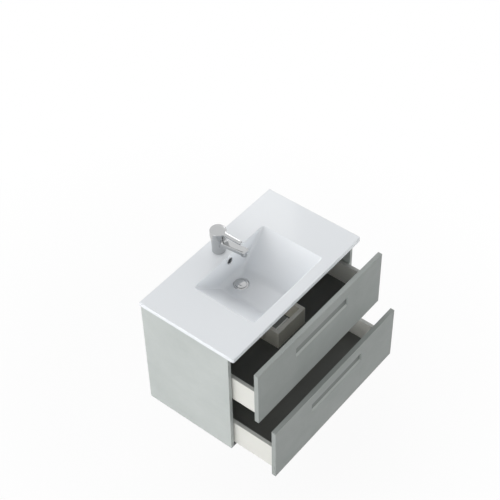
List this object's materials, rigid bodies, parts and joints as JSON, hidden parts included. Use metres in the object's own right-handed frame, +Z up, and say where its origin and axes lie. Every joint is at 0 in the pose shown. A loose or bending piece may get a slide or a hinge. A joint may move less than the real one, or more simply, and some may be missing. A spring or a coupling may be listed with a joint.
{
  "type": "wall-hung vanity unit",
  "caption": "Wall-hung bathroom vanity with a moulded washbasin top, a single-lever tap and cement-grey drawers on telescopic runners, opened by routed finger grooves.",
  "frame": {"origin": "centre of the wall plates' hole pattern, on the wall plane", "axes": "+X to the right seen from the front, +Y into the wall, +Z up"},
  "size_m": [0.8, 0.684, 0.691],
  "materials": {
    "basin_white": "smooth satin-gloss moulded basin",
    "chrome": "polished chrome plate",
    "cement_front": "board with a matt cement-look laminate",
    "cement_side": "board with a pale matt cement-look laminate",
    "carcass_grey": "board with a plain grey foil",
    "drawer_white": "board with a warm white foil",
    "drawer_floor": "thin board with a dark grey foil",
    "recess_beige": "board with a beige-grey foil",
    "runner_zinc": "zinc-plated rolled steel",
    "runner_black": "black coated rolled steel",
    "fitting_zinc": "zinc-plated fitting",
    "hanger_steel": "zinc-plated pressed steel",
    "seal_rubber": "black rubber",
    "trap_white": "white moulded plastic",
    "brass": "turned brass",
    "cartridge_plastic": "moulded cartridge case",
    "bumper_clear": "soft clear bumper"
  },
  "bodies": {
    "cabinet": {"washbasin": "basin_white", "overflow_ring": "chrome", "waste_body": "chrome", "waste_gasket": "seal_rubber", "waste_back_seal": "seal_rubber", "waste_back_nut": "brass", "trap_inlet_pipe": "trap_white", "trap_nuts": "trap_white", "trap_body": "trap_white", "trap_cup": "trap_white", "trap_outlet_pipe": "trap_white", "tap_body": "chrome", "tap_base_seal": "seal_rubber", "tap_aerator": "cartridge_plastic", "tap_cartridge": "cartridge_plastic", "tap_fixing_stud": "brass", "tap_fixing_plate": "fitting_zinc", "tap_fixing_nut": "brass", "side_panel_left": "cement_side", "side_panel_right": "cement_side", "bottom_panel": "carcass_grey", "top_rear_rail": "carcass_grey", "lower_rear_rail": "carcass_grey", "cam_locks": "fitting_zinc", "cam_bolts": "fitting_zinc", "bumpers": "bumper_clear", "wall_plates": "hanger_steel", "hangers": "hanger_steel", "hanger_screws": "fitting_zinc", "runner_screws": "fitting_zinc", "upper_runner_cabinet_left": "runner_black", "upper_runner_cabinet_right": "runner_black", "lower_runner_cabinet_left": "runner_black", "lower_runner_cabinet_right": "runner_black"},
    "upper_drawer": {"upper_front": "cement_front", "upper_side_left": "drawer_white", "upper_side_right": "drawer_white", "upper_bottom": "drawer_floor", "upper_recess": "recess_beige", "upper_backs": "drawer_white", "upper_runner_rails": "runner_zinc", "upper_cam_fittings": "fitting_zinc"},
    "upper_middle_left": {"upper_runner_middle_left": "runner_black"},
    "upper_middle_right": {"upper_runner_middle_right": "runner_black"},
    "lower_drawer": {"lower_front": "cement_front", "lower_side_left": "drawer_white", "lower_side_right": "drawer_white", "lower_bottom": "drawer_floor", "lower_back": "drawer_white", "lower_runner_rails": "runner_zinc", "lower_cam_fittings": "fitting_zinc"},
    "lower_middle_left": {"lower_runner_middle_left": "runner_black"},
    "lower_middle_right": {"lower_runner_middle_right": "runner_black"},
    "tap_swivel": {"tap_carrier": "brass", "tap_lever_pin": "fitting_zinc"},
    "tap_handle": {"tap_lever": "chrome", "tap_lever_stem": "brass"},
    "plug": {"waste_plug": "chrome"}
  },
  "joints": [
    {"name": "upper_drawer_slide", "type": "slide", "parent": "cabinet", "child": "upper_drawer", "axis": [0, -1, 0], "range_m": [-0.12, 0.23]},
    {"name": "upper_middle_left_slide", "type": "slide", "parent": "cabinet", "child": "upper_middle_left", "axis": [0, -1, 0], "range_m": [-0.06, 0.115]},
    {"name": "upper_middle_right_slide", "type": "slide", "parent": "cabinet", "child": "upper_middle_right", "axis": [0, -1, 0], "range_m": [-0.06, 0.115]},
    {"name": "lower_drawer_slide", "type": "slide", "parent": "cabinet", "child": "lower_drawer", "axis": [0, -1, 0], "range_m": [-0.2, 0.15]},
    {"name": "lower_middle_left_slide", "type": "slide", "parent": "cabinet", "child": "lower_middle_left", "axis": [0, -1, 0], "range_m": [-0.1, 0.075]},
    {"name": "lower_middle_right_slide", "type": "slide", "parent": "cabinet", "child": "lower_middle_right", "axis": [0, -1, 0], "range_m": [-0.1, 0.075]},
    {"name": "tap_mix", "type": "hinge", "parent": "cabinet", "child": "tap_swivel", "pos_m": [0, -0.06, 0.15], "axis": [0, 0, 1], "range_deg": [-45, 45]},
    {"name": "tap_open", "type": "hinge", "parent": "tap_swivel", "child": "tap_handle", "pos_m": [0, -0.06, 0.1545], "axis": [-1, 0, 0], "range_deg": [0, 18]},
    {"name": "plug_lift", "type": "slide", "parent": "cabinet", "child": "plug", "axis": [0, 0, 1], "range_m": [0, 0.006]}
  ],
  "couplings": [
    {"joint": "upper_middle_left_slide", "follows": "upper_drawer_slide", "ratio": 0.5},
    {"joint": "upper_middle_right_slide", "follows": "upper_drawer_slide", "ratio": 0.5},
    {"joint": "lower_middle_left_slide", "follows": "lower_drawer_slide", "ratio": 0.5},
    {"joint": "lower_middle_right_slide", "follows": "lower_drawer_slide", "ratio": 0.5}
  ]
}
